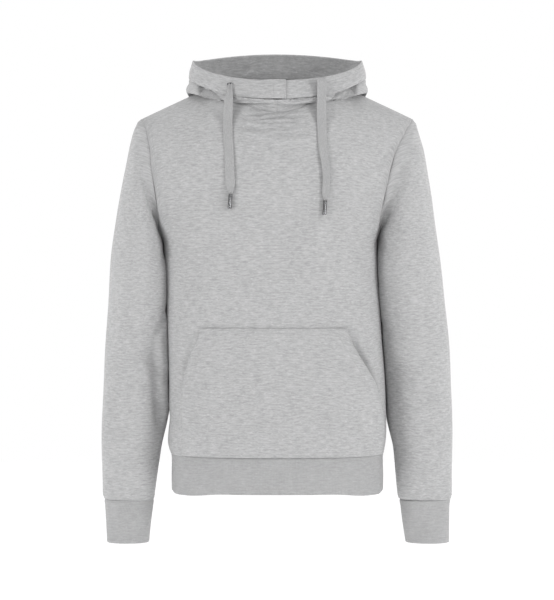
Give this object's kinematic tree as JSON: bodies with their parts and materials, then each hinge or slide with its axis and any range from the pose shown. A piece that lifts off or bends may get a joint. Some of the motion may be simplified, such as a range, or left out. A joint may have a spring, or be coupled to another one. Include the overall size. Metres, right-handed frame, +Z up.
{
  "type": "pullover hoodie",
  "caption": "Long-sleeved pullover hoodie in heather grey jersey, hood down, kangaroo pocket, rib waistband and cuffs, flat drawcords, hollow as worn",
  "frame": {"origin": "inside the neck, on the centre line, level with the place where the hood meets the shoulders: the wearer's shoulders and neck hold the garment there", "axes": "+Z up, the front faces -Y, +X is to the right as seen from the front"},
  "size_m": [0.6012, 0.2907, 0.8511],
  "materials": {
    "jersey": "heather grey brushed sweatshirt jersey, matte with a soft nap",
    "rib": "fine grey rib knit, matte",
    "cord": "flat woven cotton cord, matte",
    "metal": "gunmetal, satin"
  },
  "bodies": {
    "root": {"front": "jersey", "back": "jersey", "sleeve_left": "jersey", "sleeve_right": "jersey", "hood_left": "jersey", "hood_right": "jersey", "hood_band": "jersey", "pocket": "jersey", "waistband": "rib", "cuff_left": "rib", "cuff_right": "rib", "drawcord_left": "cord", "drawcord_right": "cord", "aglet_left": "metal", "aglet_right": "metal"}
  },
  "joints": []
}
